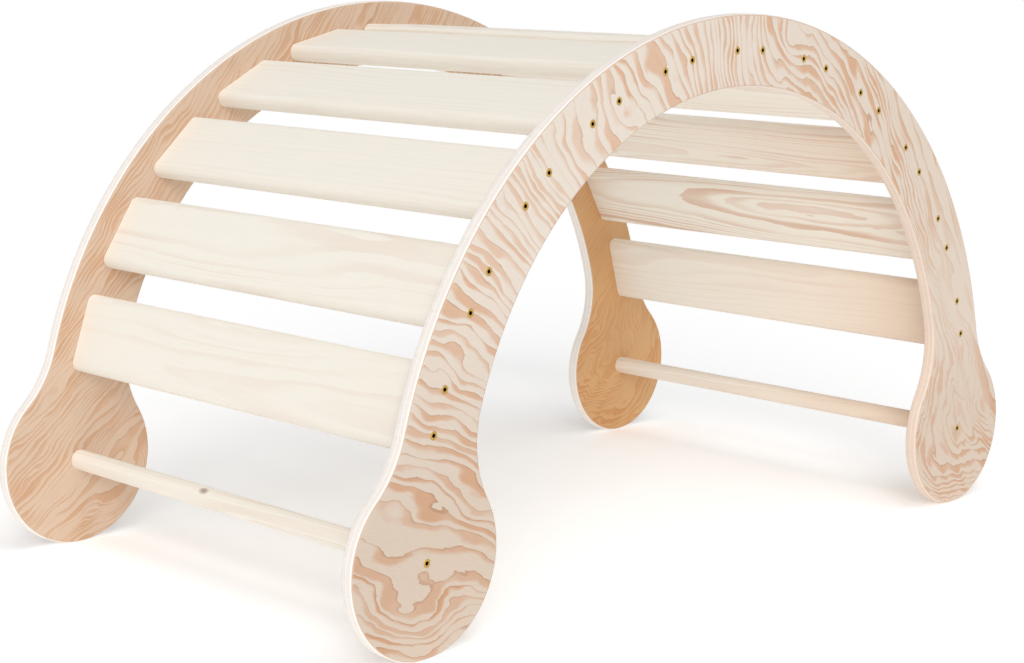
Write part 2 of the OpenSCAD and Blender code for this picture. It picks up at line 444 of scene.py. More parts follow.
def mound(tree, flat, place, slope, long_mm, wide_mm, top, ground=0.0):
    """A value that rises smoothly from ground to top inside an oval on a panel's face."""
    off = add(tree, "ShaderNodeMapping", {0: flat, "Location": (place[0], 0, place[1]),
                                          "Rotation": (0, math.radians(-slope), 0),
                                          "Scale": (long_mm, 1, wide_mm)}, vector_type="TEXTURE")[0]
    away = add(tree, "ShaderNodeVectorMath", {0: off}, operation="LENGTH")[0]
    return add(tree, "ShaderNodeMapRange", {0: away, 3: top, 4: ground}, interpolation_type="SMOOTHSTEP")[0]


def veneer_here(tree, inside, outer, inner):
    """The values of the veneer on the face that a point is nearest to: outer's where inside is 0, and
    inner's where it is 1."""
    here = {}
    for key, value in outer.items():
        if isinstance(value, tuple):
            kind = "RGBA" if len(value) == 4 else "VECTOR"
            here[key] = add(tree, "ShaderNodeMix", {0: inside, 1: value, 2: inner[key]}, data_type=kind)[0]
        else:
            here[key] = add(tree, "ShaderNodeMapRange", {0: inside, 3: value, 4: inner[key]})[0]
    return here


def veneer_sheet(tree, flat, run):
    """The distance across a veneer's lines, and the place on its sheet: along the lines, its seed and
    across them. The distance grows evenly along lean, and bend lets the lines grow steeper towards
    the right end and the top."""
    square = add(tree, "ShaderNodeVectorMath", {0: flat, 1: flat}, operation="MULTIPLY")[0]
    grain = add(tree, "ShaderNodeVectorMath", {0: run["lean"], 1: (0.0, 1.0, 0.0)},
                operation="CROSS_PRODUCT")[0]
    straight = add(tree, "ShaderNodeVectorMath", {0: flat, 1: run["lean"]}, operation="DOT_PRODUCT")[0]
    curved = add(tree, "ShaderNodeVectorMath", {0: square, 1: run["bend"]}, operation="DOT_PRODUCT")[0]
    across = add(tree, "ShaderNodeMath", {0: straight, 1: curved}, operation="ADD")[0]
    along = add(tree, "ShaderNodeVectorMath", {0: flat, 1: grain}, operation="DOT_PRODUCT")[0]
    return across, add(tree, "ShaderNodeCombineXYZ", {0: along, 1: run["seed"], 2: across})[0]


def edge_plies(tree, depth, sizes):
    """The plies that show along the edges, every other one with its end grain, and the thin lines of
    glue between them."""
    ply = add(tree, "ShaderNodeMath", {0: depth, 1: PANEL_THICK / MM / PLIES}, operation="DIVIDE")[0]
    number = add(tree, "ShaderNodeMath", {0: ply}, operation="FLOOR")[0]
    end_grain = add(tree, "ShaderNodeMath", {0: number, 1: 2.0}, operation="MODULO")[0]
    wood = add(tree, "ShaderNodeMix", {0: end_grain, 1: tuple(sizes.ply_long), 2: tuple(sizes.ply_end)},
               data_type="RGBA")[0]
    from_glue = add(tree, "ShaderNodeMath", {0: ply, 1: 0.5}, operation="PINGPONG")[0]
    glue = add(tree, "ShaderNodeMapRange", {0: from_glue, 1: 0.03, 2: 0.1, 3: 0.6, 4: 0.0})[0]
    return add(tree, "ShaderNodeMix", {0: glue, 1: wood, 2: tuple(sizes.glue)}, data_type="RGBA")[0]


def plywood(name, sizes, outer, inner, knolls, plies_shade_tint):
    """Softwood plywood with a rotary-cut face veneer, sanded and left bare. Peeled from the log, the
    veneer shows broad wandering contours of late wood, each with one sharp edge. The rounded edges cut
    through five plies, which show as pale wood with thin lines. The bare wood is matt.

    outer and inner are the veneers of the two faces, from veneer_run. knolls are places where the log
    bulged and the contours close or spread: middle, slope, length, width and rise, in millimetres.
    The tint of the plies at the right end, the last argument, is painted shade, for the dimmer light on
    the edges of the right leg."""
    material = new_material(name)
    tree = material.node_tree
    place = add(tree, "ShaderNodeTexCoord")[COORDINATE_OBJECT]
    place_mm = add(tree, "ShaderNodeVectorMath", {0: place, "Scale": 1 / MM}, operation="SCALE")[0]
    x, y, z = add(tree, "ShaderNodeSeparateXYZ", {0: place_mm})
    off_middle = add(tree, "ShaderNodeMath", {0: y}, operation="ABSOLUTE")[0]
    depth = add(tree, "ShaderNodeMath", {0: OUTER_FACE / MM, 1: off_middle}, operation="SUBTRACT")[0]
    half_mm = PANEL_THICK / MM / 2
    inside = add(tree, "ShaderNodeMath", {0: depth, 1: half_mm}, operation="GREATER_THAN")[0]
    to_face = add(tree, "ShaderNodeMath", {0: depth, 1: half_mm}, operation="PINGPONG")[0]
    run = veneer_here(tree, inside, outer, inner)

    # The veneer's height in the log: its contours are the growth rings. They move on where a rounded
    # edge cuts deeper into the veneer. Then come the knolls, and then the log's own waves
    flat = add(tree, "ShaderNodeVectorMath", {0: place_mm, 1: (1.0, 0.0, 1.0)}, operation="MULTIPLY")[0]
    across, sheet = veneer_sheet(tree, flat, run)
    height = add(tree, "ShaderNodeMath", {0: to_face, 1: DEPTH_MOVES, 2: across},
                 operation="MULTIPLY_ADD")[0]
    for knoll_place in knolls:
        knoll = mound(tree, flat, *knoll_place)
        height = add(tree, "ShaderNodeMath", {0: height, 1: knoll}, operation="ADD")[0]
    height = wavy(tree, height, sheet, VENEER_WAVES)

    # The late wood swells in patches, and fades in and out along each ring and at the faint places
    spread = add(tree, "ShaderNodeMath", {0: height, 1: run["rings"]}, operation="MULTIPLY")[0]
    patches = grain_noise(tree, sheet, VENEER_PATCH)
    swell = add(tree, "ShaderNodeMapRange", {0: patches, 1: 0.3, 2: 0.7, 3: -0.34, 4: 0.34})[0]
    late, ring_depth, within = growth_rings(tree, spread, sizes.ring_width / MM, years=(0.22, 1.1),
                                            soft=0.34, widest=0.76, narrowest=0.36, palest=0.6,
                                            swell=swell)
    patch = add(tree, "ShaderNodeMapRange", {0: patches, 1: 0.32, 2: 0.58, 3: 0.5, 4: 1.0})[0]
    strength = add(tree, "ShaderNodeMath", {0: ring_depth, 1: patch}, operation="MULTIPLY")[0]
    for faint_place in FAINT_PLACES:
        faint = mound(tree, flat, *faint_place, ground=1.0)
        strength = add(tree, "ShaderNodeMath", {0: strength, 1: faint}, operation="MULTIPLY")[0]
    band = add(tree, "ShaderNodeMath", {0: late, 1: strength}, operation="MULTIPLY")[0]
    veneer = add(tree, "ShaderNodeMix", {0: band, 1: run["early"], 2: run["late"]}, data_type="RGBA")[0]

    # The sharp edge of a band, a thin darker line
    ring_end = add(tree, "ShaderNodeMapRange", {0: within, 1: 0.89, 2: 0.97},
                   interpolation_type="SMOOTHSTEP")[0]
    line = add(tree, "ShaderNodeMath", {0: ring_end, 1: strength}, operation="MULTIPLY")[0]
    line_part = add(tree, "ShaderNodeMath", {0: line, 1: 0.65}, operation="MULTIPLY")[0]
    veneer = add(tree, "ShaderNodeMix", {0: line_part, 1: veneer, 2: tuple(sizes.line)},
                 data_type="RGBA")[0]

    # The tint towards the right end and the feet. On the pale veneers it is partly the wood's own tone and
    # partly painted shade, and at the feet it is painted shade, darker lower down. Inside the back panel it
    # is a golden tint, partly the wood's own tone and partly painted warm shade
    to_right = add(tree, "ShaderNodeMapRange", {0: x, 1: run["tint_start"], 2: TINT_END, 4: run["right"]},
                   interpolation_type="SMOOTHSTEP")[0]
    to_feet = add(tree, "ShaderNodeMapRange", {0: z, 1: FEET_SHADE_START, 2: FEET_SHADE_END},
                  interpolation_type="SMOOTHSTEP")[0]
    feet_shade = add(tree, "ShaderNodeMath", {0: to_feet, 1: run["feet"]}, operation="MULTIPLY")[0]
    tinted = add(tree, "ShaderNodeMath", {0: to_right, 1: feet_shade}, operation="MAXIMUM")[0]
    veneer = add(tree, "ShaderNodeMix", {0: tinted, 1: veneer, 2: run["tint"]}, data_type="RGBA",
                 blend_type="MULTIPLY")[0]

    # Under the veneer lie the plies. The veneer's own cut edge is a thin brown line round each face
    plies = edge_plies(tree, depth, sizes)
    # Painted shade: the plies darken towards the right end
    core = add(tree, "ShaderNodeMix", {0: to_right, 1: plies, 2: plies_shade_tint}, data_type="RGBA",
               blend_type="MULTIPLY")[0]
    skin = add(tree, "ShaderNodeMapRange", {0: to_face, 1: 0.1, 2: 0.35, 3: 0.0, 4: 0.8})[0]
    under = add(tree, "ShaderNodeMapRange", {0: to_face, 1: 0.7, 2: 1.1, 3: 0.0, 4: 1.0})[0]
    rim_wood = add(tree, "ShaderNodeMix", {0: skin, 1: veneer, 2: tuple(sizes.rim)}, data_type="RGBA")[0]
    wood = add(tree, "ShaderNodeMix", {0: under, 1: rim_wood, 2: core}, data_type="RGBA")[0]
    bare_wood(tree, wood, band, sheet, fibre_mm=VENEER_FIBRE, shades=(0.96, 1.03), relief=0.35,
              rough=(0.68, 0.58))
    return material


def veneer_run(lean, bend, seed, early, late, tint, tint_start=-300.0, right=0.62, feet=1.0,
               rings=1.0):
    """How the veneer of one face runs, for plywood: the growth of the distance across its lines along X
    and Z, how that changes with every metre, its seed, its two colours, its tint towards the right end,
    where along X that tint starts, in millimetres, how much of it the right end and the feet take, and
    how many rings there are for one of the usual width. The tint is partly the wood's own tone and partly
    painted shade; at the feet it is painted shade."""
    return {"lean": (lean[0], 0.0, lean[1]), "bend": (bend[0] * MM, 0.0, bend[1] * MM), "seed": seed,
            "early": tuple(early), "late": tuple(late), "tint": tuple(tint), "tint_start": tint_start,
            "right": right, "feet": feet, "rings": rings}


PLIES = 5
DEPTH_MOVES = 4.0           # how far a millimetre of depth moves the veneer's contours, in millimetres

# The veneer's pattern along its lines, from seed to seed and across them, in millimetres. The waves,
# long ones first, then shorter and rougher, also have how far they swing
VENEER_WAVES = (((170, 1, 80), 22), ((62, 1, 26), 11), ((16, 1, 5), 1.4))
VENEER_PATCH = (70, 1, 30)
VENEER_FIBRE = (16, 1, 1.2)

# In millimetres
# The tints towards the right end are partly painted shade; the tint at the feet is painted shade
TINT_END = 400.0            # where along X the tints are full
FEET_SHADE_START = 400.0     # the height at which the feet's tint starts
FEET_SHADE_END = 90.0        # the height at which it is full

# Where the contours of each panel's veneers spread or turn, as plywood takes them
FRONT_KNOLLS = (
    ((-540, -40), 0, 240, 240, 80),
    ((-465, 40), -40, 70, 45, 20),
    ((-505, 115), -20, 60, 40, 12),
    ((-250, 450), 0, 170, 170, 50),
    ((85, 625), 0, 190, 190, 55),
    ((5, 515), 0, 115, 115, 58),
    ((70, 565), -60, 40, 26, 12),
    ((375, 45), 20, 200, 170, 165),
    ((505, 110), -40, 45, 28, 14),
    ((430, 245), -60, 60, 36, 20),
)
BACK_KNOLLS = (
    ((-400, 50), 50, 85, 48, 44),
    ((440, 90), 40, 90, 55, 46),
    ((525, 10), 0, 210, 210, 140),
)
# Where the figure fades: middle, slope, length, width, and how much of it is left in the middle
FAINT_PLACES = (
    ((425, 270), -75, 210, 130, 0.25),
    ((455, 120), 40, 130, 100, 0.45),
    ((-300, 440), 50, 170, 90, 0.7),
)


class ROCKER_OT_side_panels(bpy.types.Operator):
    """Make the two plywood side panels, the front one facing the viewer"""
    bl_idname = "rocker.side_panels"
    bl_label = "Side panels"

    def execute(self, context):
        sizes = context.scene.rocker_arch.panels
        screw = context.scene.rocker_arch.screws
        pale = (sizes.cream, sizes.band, sizes.warm)
        front_outer = veneer_run((0.85, 1.10), (0.45, -0.45), 3.1, *pale)
        front_inner = veneer_run((-0.90, 1.00), (-0.20, -0.40), 8.4, *pale)
        back_outer = veneer_run((-0.70, 1.05), (-0.30, -0.50), 12.7, *pale)
        # Inside the back panel: tan and amber are partly its own tone and partly painted shade, and the
        # golden right end is partly painted warm shade
        back_inner = veneer_run((-0.90, 1.10), (-0.05, -0.45), 5.2, sizes.tan, sizes.amber, sizes.golden,
                                tint_start=150.0, right=1.0, feet=0.0, rings=1.6)
        # The front panel's plies take painted shade at the right end
        front = plywood("pine_plywood_front", sizes, front_outer, front_inner, FRONT_KNOLLS,
                        tuple(sizes.plies_shade))
        back = plywood("pine_plywood_back", sizes, back_outer, back_inner, BACK_KNOLLS,
                       (1.0, 1.0, 1.0, 1.0))

        for side, material, way in (("front", front, 1), ("back", back, -1)):
            bm = panel_shape(sizes, screw)
            bmesh.ops.scale(bm, verts=bm.verts, vec=(1, way, 1))
            close_shell(bm)
            finish_piece(bm, "plywood_panel_" + side, "side_panel_" + side, material)
        return {"FINISHED"}


# ---- pine slats and rods ----

PILOT_SPARE = 1 * MM        # room past the screw's tip


def pilot_hole(screw):
    """The hole that a screw's shank and thread run in, as (radius, depth into the wood) points."""
    shank = screw.shank / 2 + screw.gap
    thread = screw.thread / 2 + screw.gap
    bottom = screw.length - PANEL_THICK + PILOT_SPARE
    return [(shank, 0), (shank, screw.shank_in), (thread, screw.shank_in + shank - thread),
            (thread, bottom - screw.tip), (thread / 3, bottom), (0, bottom)]


def slat_shape(sizes, screw):
    """A slat on the origin, along Y: a rounded section is drawn out to one end and mirrored."""
    bm = bmesh.new()
    bmesh.ops.create_grid(bm, x_segments=1, y_segments=1, size=0.5)
    bmesh.ops.scale(bm, verts=bm.verts, vec=(SLAT_WIDTH, SLAT_THICK, 1))
    bmesh.ops.rotate(bm, verts=bm.verts, matrix=Matrix.Rotation(math.pi / 2, 3, "X"))
    bmesh.ops.bevel(bm, geom=bm.verts[:], offset=sizes.edge_radius, affect="VERTICES",
                    segments=SLAT_EDGE_STEPS, profile=0.5, material=-1)
    bmesh.ops.delete(bm, geom=bm.faces[:], context="FACES_ONLY")
    half = SLAT_LENGTH / 2
    eased = sizes.eased_end
    section = bm.edges[:]
    for reach, narrow in ((half - eased, 0), (eased, 2 * eased)):
        drawn = bmesh.ops.extrude_edge_only(bm, edges=section)["geom"]
        section = [part for part in drawn if isinstance(part, bmesh.types.BMEdge)]
        ring = [part for part in drawn if isinstance(part, bmesh.types.BMVert)]
        bmesh.ops.translate(bm, verts=ring, vec=ACROSS * reach)
        smaller = (1 - narrow / SLAT_WIDTH, 1, 1 - narrow / SLAT_THICK)
        bmesh.ops.scale(bm, verts=ring, vec=smaller)
    for side in (-1, 1):
        end = Vector((side * SCREW_SPACING / 2, half, 0))
        turn_profile(bm, pilot_hole(screw), end, -ACROSS, PILOT_SIDES)
    bmesh.ops.remove_doubles(bm, verts=bm.verts, dist=TINY)
    shade_smooth(bm)
    fill_plane(bm, half)
    mirror(bm, "Y")
    return bm


def rod_shape(sizes, screw):
    """A rod on the origin, along Y, with its end eased and drilled, turned and mirrored."""
    bm = bmesh.new()
    half = SLAT_LENGTH / 2
    eased = sizes.eased_end
    profile = [(ROD_RADIUS, 0), (ROD_RADIUS, half - eased), (ROD_RADIUS - eased, half)]
    profile += [(radius, half - depth) for radius, depth in pilot_hole(screw)]
    turn_profile(bm, profile, Vector(), ACROSS, ROD_SIDES)
    shade_smooth(bm)
    mirror(bm, "Y")
    return bm


def mark_log(bm, sawn, along):
    """Gives every point its place in the log that it was sawn from, with the pith along Y, how strongly
    the growth rings show in that board, and how much painted shade it takes, from its front to its back
    end: a warmer, darker tint for the shade near the front panel.

    sawn is an entry of SAWN_SLATS or SAWN_RODS, and along is how far along the log the board lay."""
    pith_mm, tilt, figure, warm = sawn
    pith = Matrix.Translation((pith_mm[0] * MM, along, pith_mm[1] * MM))
    to_log = pith @ Matrix.Rotation(math.radians(tilt), 4, "X")
    log = bm.verts.layers.float_vector.new("log")
    strength = bm.verts.layers.float.new("figure")
    warmth = bm.verts.layers.float.new("warmth")
    for vert in bm.verts:
        vert[log] = to_log @ vert.co
        vert[strength] = figure
        # Painted shade along the board, from its front end to its back end
        along_board = 0.5 + vert.co.y / SLAT_LENGTH
        vert[warmth] = warm[0] + (warm[1] - warm[0]) * along_board


# The pattern of pine across, along and across the log, in millimetres. The waves, long ones first, then
# shorter and rougher, also have how far they swing
PINE_WAVES = (((60, 420, 60), 14), ((16, 110, 16), 2.4), ((4, 30, 4), 0.5))
PINE_PATCH = (30, 190, 30)
PINE_FIBRE = (0.9, 45, 0.9)
KNOT_CORE = 1.5             # radius of a knot's dark middle, in millimetres
KNOT_END = 5.0              # radius at which it has faded out
KNOT_LONG = 0.6             # how fast it fades along the rod, for 1 across it


def pine(name, sizes, knot=None):
    """Solid pine, planed and sanded and left bare. Its growth rings are cylinders about the pith, which
    show as straight lines or long arches where a board cuts through them, each paler at its start and
    darker at its sharp end. The bare wood is matt, and a little smoother on the late wood.

    knot is the place of a small knot, if the wood has one."""
    material = new_material(name)
    tree = material.node_tree
    log = add(tree, "ShaderNodeAttribute", attribute_name="log")[ATTRIBUTE_VECTOR]
    figure = add(tree, "ShaderNodeAttribute", attribute_name="figure")[ATTRIBUTE_FACTOR]
    end_shade_attribute = add(tree, "ShaderNodeAttribute", attribute_name="warmth")[ATTRIBUTE_FACTOR]
    log_mm = add(tree, "ShaderNodeVectorMath", {0: log, "Scale": 1 / MM}, operation="SCALE")[0]
    flat = add(tree, "ShaderNodeVectorMath", {0: log_mm, 1: (1.0, 0.0, 1.0)}, operation="MULTIPLY")[0]
    from_pith = add(tree, "ShaderNodeVectorMath", {0: flat}, operation="LENGTH")[0]
    from_pith = wavy(tree, from_pith, log_mm, PINE_WAVES)
    late, ring_depth = growth_rings(tree, from_pith, sizes.ring_width / MM, years=(0.3, 1.5), soft=0.5,
                                    widest=0.85, narrowest=0.45, palest=0.4)[:2]

    # The late wood fades in and out along each ring, and shows as strongly as the board's figure says
    patches = grain_noise(tree, log_mm, PINE_PATCH)
    patch = add(tree, "ShaderNodeMapRange", {0: patches, 1: 0.35, 2: 0.6, 3: 0.35, 4: 1.0})[0]
    band = late
    for part in (ring_depth, patch, figure):
        band = add(tree, "ShaderNodeMath", {0: band, 1: part}, operation="MULTIPLY")[0]
    # Painted shade: towards the front panel, some boards turn warmer and darker
    warmth = add(tree, "ShaderNodeMath", {0: end_shade_attribute, 1: 2.0}, operation="POWER")[0]
    early = add(tree, "ShaderNodeMix", {0: warmth, 1: tuple(sizes.early), 2: tuple(sizes.end_shade_colour)},
                data_type="RGBA")[0]
    wood = add(tree, "ShaderNodeMix", {0: band, 1: early, 2: tuple(sizes.late)}, data_type="RGBA")[0]

    if knot:
        place = add(tree, "ShaderNodeTexCoord")[COORDINATE_OBJECT]
        off = add(tree, "ShaderNodeVectorMath", {0: place, 1: knot}, operation="SUBTRACT")[0]
        oval = add(tree, "ShaderNodeVectorMath", {0: off, 1: (1 / MM, KNOT_LONG / MM, 1 / MM)},
                   operation="MULTIPLY")[0]
        away = add(tree, "ShaderNodeVectorMath", {0: oval}, operation="LENGTH")[0]
        dark = add(tree, "ShaderNodeMapRange", {0: away, 1: KNOT_CORE, 2: KNOT_END, 3: 0.85, 4: 0.0})[0]
        wood = add(tree, "ShaderNodeMix", {0: dark, 1: wood, 2: tuple(sizes.knot)}, data_type="RGBA")[0]

    bare_wood(tree, wood, band, log_mm, fibre_mm=PINE_FIBRE, shades=(0.975, 1.01), relief=0.3,
              rough=(0.62, 0.52))
    return material


# How each slat was sawn: the middle of the log sideways and below it, in millimetres, the tilt of the
# board in its log, in degrees, how strongly its rings show, and how much painted shade, a warmer and
# darker tint, its front and back ends take
SAWN_SLATS = (
    ((18, 70), 1.1, 0.16, (0.0, 0.0)),
    ((-30, 62), -1.4, 0.22, (0.05, 0.0)),
    ((95, 34), 0.5, 0.12, (0.05, 0.0)),
    ((-88, 40), 0.8, 0.14, (0.0, 0.0)),
    ((100, 30), -0.6, 0.12, (0.0, 0.0)),
    ((24, 66), 0.9, 0.30, (0.0, 0.1)),
    ((-92, 36), 0.4, 0.24, (0.1, 0.0)),
    ((40, 58), 1.2, 0.30, (0.1, 0.0)),
    ((-20, 46), -1.6, 0.65, (0.75, 0.0)),
    ((14, 52), 1.5, 0.90, (0.5, 0.0)),
    ((60, 72), -0.9, 0.20, (0.84, 0.0)),
)
# The same for the left and the right rod
SAWN_RODS = (
    ((30, 22), 1.5, 0.35, (0.0, 0.0)),
    ((30, 22), 1.5, 0.35, (0.88, 0.0)),
)
# Where along the log the boards lay, in metres, so that no two show the same figure
SLAT_STEP = 1.3
ROD_START = 20
ROD_STEP = 2

# The knot in the left rod: how far to the side and up it lies, in radii of the rod, and how far back
KNOT_SIDE = -0.6
KNOT_UP = 0.8
KNOT_BACK = 39 * MM


class ROCKER_OT_slats(bpy.types.Operator):
    """Make the pine slats along the arch"""
    bl_idname = "rocker.slats"
    bl_label = "Slats"

    def execute(self, context):
        sizes = context.scene.rocker_arch.pine
        screw = context.scene.rocker_arch.screws
        material = pine("sanded_pine_boards", sizes)
        for k, node in enumerate(SLATS):
            bm = slat_shape(sizes, screw)
            mark_log(bm, SAWN_SLATS[k % len(SAWN_SLATS)], SLAT_STEP * k)
            bmesh.ops.transform(bm, matrix=slat_place(node), verts=bm.verts)
            close_shell(bm)
            finish_piece(bm, "pine_" + node, node, material)
        return {"FINISHED"}


class ROCKER_OT_rods(bpy.types.Operator):
    """Make the two pine rods between the feet"""
    bl_idname = "rocker.rods"
    bl_label = "Rods"

    def execute(self, context):
        sizes = context.scene.rocker_arch.pine
        screw = context.scene.rocker_arch.screws
        left = node_middle(RODS[0])
        knot = left + Vector((KNOT_SIDE * ROD_RADIUS, KNOT_BACK, KNOT_UP * ROD_RADIUS))
        material = pine("turned_pine_rods", sizes, knot)
        for k, node in enumerate(RODS):
            bm = rod_shape(sizes, screw)
            mark_log(bm, SAWN_RODS[k], ROD_START + ROD_STEP * k)
            bmesh.ops.translate(bm, verts=bm.verts, vec=node_middle(node))
            close_shell(bm)
            finish_piece(bm, "pine_rod_" + node.split("_")[-1], node, material)
        return {"FINISHED"}


# ---- screws ----

HEAD_CHAMFER = 0.2 * MM
DRILL_POINT = 0.8 * MM      # how much deeper the middle of the socket's floor is
THREAD_START = 1 * MM       # bare core between the shank and the thread
WEDGE_RADIUS = 0.62 * MM    # from the middle of the thread's three-sided section to its corners
WEDGE_NARROW = 0.8          # the section's width along the screw, for 1 as a regular triangle
WEDGE_OUT = 0.2 * MM        # how far outside the core its middle lies
TURN_SEED = 4               # of how far each screw was turned in


def screw_shape(screw):
    """A screw on the origin, its head facing -Y and its tip towards +Y, with a hexagon socket, a
    countersunk head, a smooth shank and a thread."""
    bm = bmesh.new()
    shank = screw.shank / 2
    core = screw.core / 2
    cone_end = screw.rim + HEAD_RADIUS - shank
    shank_end = PANEL_THICK + screw.shank_in
    profile = [(HEAD_RADIUS - HEAD_CHAMFER, 0), (HEAD_RADIUS, HEAD_CHAMFER), (HEAD_RADIUS, screw.rim),
               (shank, cone_end), (shank, shank_end), (core, shank_end + shank - core),
               (core, screw.length - screw.tip), (core / 3, screw.length), (0, screw.length)]
    turn_profile(bm, profile, Vector(), ACROSS, HEAD_SIDES)

    corner = screw.socket / 2 / math.cos(math.pi / 6)
    hexagon = bmesh.ops.create_circle(bm, segments=6, radius=corner)["verts"]
    bmesh.ops.rotate(bm, verts=hexagon, matrix=Matrix.Rotation(math.pi / 2, 3, "X"))
    mouth = list({edge for vert in hexagon for edge in vert.link_edges})
    walls = bmesh.ops.extrude_edge_only(bm, edges=mouth)["geom"]
    floor_verts = [part for part in walls if isinstance(part, bmesh.types.BMVert)]
    floor_edges = [part for part in walls if isinstance(part, bmesh.types.BMEdge)]
    bmesh.ops.translate(bm, verts=floor_verts, vec=ACROSS * screw.socket_depth)
    floor = bmesh.ops.edgeloop_fill(bm, edges=floor_edges)["faces"]
    bmesh.ops.poke(bm, faces=floor)
    lowest = bm.verts[:][-1]
    lowest.co = ACROSS * (screw.socket_depth + DRILL_POINT)
    bmesh.ops.remove_doubles(bm, verts=bm.verts, dist=TINY)
    shade_smooth(bm)
    fill_plane(bm, 0)

    # The thread is a thin wedge wound round the core
    turns = (screw.length - screw.tip - shank_end - THREAD_START) / screw.pitch - 1
    wedge = bmesh.ops.create_circle(bm, segments=3, radius=WEDGE_RADIUS, cap_ends=True)["verts"]
    bmesh.ops.scale(bm, verts=wedge, vec=(WEDGE_NARROW, 1, 1))
    bmesh.ops.rotate(bm, verts=wedge, matrix=Matrix.Rotation(-math.pi / 2, 3, "Z"))
    bmesh.ops.translate(bm, verts=wedge, vec=(core + WEDGE_OUT, shank_end + THREAD_START, 0))
    wedge_parts = {part for vert in wedge for part in (*vert.link_edges, *vert.link_faces)}
    bmesh.ops.spin(bm, geom=wedge + list(wedge_parts), cent=(0, 0, 0), axis=ACROSS, angle=turns * math.tau,
                   dvec=ACROSS * screw.pitch / THREAD_STEPS, steps=round(turns * THREAD_STEPS))
    close_shell(bm)
    mesh = bpy.data.meshes.new("screw")
    bm.to_mesh(mesh)
    bm.free()
    return mesh


ZINC_CLOUD = 6 * MM         # size of the changes in the plating


def zinc_plated_steel(name, screw):
    """Steel with yellow zinc plating: a soft golden metal whose colour and sheen change a little from
    place to place. Below its face, in the socket, it is darker: partly dust and grease, and partly
    painted shade in that recess."""
    material = new_material(name)
    tree = material.node_tree
    place = add(tree, "ShaderNodeTexCoord")[COORDINATE_OBJECT]
    y = add(tree, "ShaderNodeSeparateXYZ", {0: place})[1]
    off_middle = add(tree, "ShaderNodeMath", {0: y}, operation="ABSOLUTE")[0]
    depth = add(tree, "ShaderNodeMath", {0: OUTER_FACE, 1: off_middle}, operation="SUBTRACT")[0]
    # Darker below the face: partly dust, partly painted shade in the socket
    dust_and_shade_mask = add(tree, "ShaderNodeMapRange", {0: depth, 1: 0.1 * MM, 2: 1.2 * MM})[0]
    tint = add(tree, "ShaderNodeTexNoise", {0: place, "Scale": 1 / ZINC_CLOUD, "Detail": 2.0})[0]
    warm = add(tree, "ShaderNodeMix", {0: tint, 1: tuple(screw.zinc), 2: tuple(screw.pale_zinc)},
               data_type="RGBA")[0]
    colour_here = add(tree, "ShaderNodeMix", {0: dust_and_shade_mask, 1: warm, 2: tuple(screw.socket_dust_and_shade)},
                      data_type="RGBA")[0]
    rough = add(tree, "ShaderNodeMapRange", {0: tint, 3: 0.28, 4: 0.42})[0]
    look = {"Base Color": colour_here, "Roughness": rough, "Metallic": 1.0}
    shader = add(tree, "ShaderNodeBsdfPrincipled", look)[0]
    add(tree, "ShaderNodeOutputMaterial", {"Surface": shader})
    return material


class ROCKER_OT_screws(bpy.types.Operator):
    """Make the connector screws in the ends of the slats and rods"""
    bl_idname = "rocker.screws"
    bl_label = "Screws"

    def execute(self, context):
        sizes = context.scene.rocker_arch.screws
        material = zinc_plated_steel("yellow_zinc_plated_steel", sizes)
        screw = screw_shape(sizes)
        places = {node: slat_screw_heads(node) for node in SLATS}
        places.update({node: [node_middle(node)] for node in RODS})
        turns = random.Random(TURN_SEED)
        for node, heads in places.items():
            bm = bmesh.new()
            for head in heads:
                for end in (0, math.pi):
                    before = len(bm.verts)
                    bm.from_mesh(screw)
                    bm.verts.ensure_lookup_table()
                    own_turn = Matrix.Rotation(turns.uniform(0, math.tau), 4, "Y")
                    at_face = Matrix.Translation(-ACROSS * OUTER_FACE)
                    other_end = Matrix.Rotation(end, 4, "Z")
                    place = Matrix.Translation(head) @ other_end @ at_face @ own_turn
                    bmesh.ops.transform(bm, matrix=place, verts=bm.verts[before:])
            piece_name = "screws_" + node.replace("grip_", "")
            finish_piece(bm, piece_name, node + "_screws", material)
        bpy.data.meshes.remove(screw)
        return {"FINISHED"}


# ---- stage ----

CAMERA_PLACE = Vector((-1.7303, -1.5845, 0.6171))
CAMERA_TURN = (-46.66, 9.559, 1.488)   # round to the left, up, and rolled, in degrees
CAMERA_LENS = 72.57
CAMERA_SENSOR = 36

# Soft lamps as (name, where it shines from, strength, how wide it looks in degrees)
LAMPS = (
    ("lamp_front_left", (-0.65, -0.62, 0.44), 1.3, 30),
    ("lamp_above", (-0.15, -0.35, 0.92), 0.85, 40),
)
WORLD_LEVEL = 0.37
FLOOR_RADIUS = 14
FLOOR_GLOW = 0.32           # what lights the object
FLOOR_GLOW_SEEN = 0.21      # what is seen directly
WHITE = (1, 1, 1, 1)


def seen_directly(tree):
    """1 for what the camera sees, also in metal or through glass, and 0 for what lights the object."""
    path = add(tree, "ShaderNodeLightPath")
    camera_ray, glossy_ray, transmission_ray = path[0], path[3], path[6]
    seen = add(tree, "ShaderNodeMath", {0: camera_ray, 1: glossy_ray}, operation="MAXIMUM")[0]
    return add(tree, "ShaderNodeMath", {0: seen, 1: transmission_ray}, operation="MAXIMUM")[0]


def studio_floor(name, settings):
    """A white light table: matt, glowing faintly from below so that the undersides of the slats aren't
    lost in shade. Seen directly it is white paper, which keeps the shadow."""
    material = new_material(name)
    tree = material.node_tree
    seen = seen_directly(tree)
    tone = add(tree, "ShaderNodeMix", {0: seen, 1: tuple(settings.floor), 2: WHITE}, data_type="RGBA")[0]
    paper = add(tree, "ShaderNodeBsdfDiffuse", {"Color": tone})[0]
    level = add(tree, "ShaderNodeMapRange", {0: seen, 3: FLOOR_GLOW, 4: FLOOR_GLOW_SEEN})[0]
    glow = add(tree, "ShaderNodeEmission", {"Color": WHITE, "Strength": level})[0]
    both = add(tree, "ShaderNodeAddShader", {0: paper, 1: glow})[0]
    add(tree, "ShaderNodeOutputMaterial", {"Surface": both})
    return material


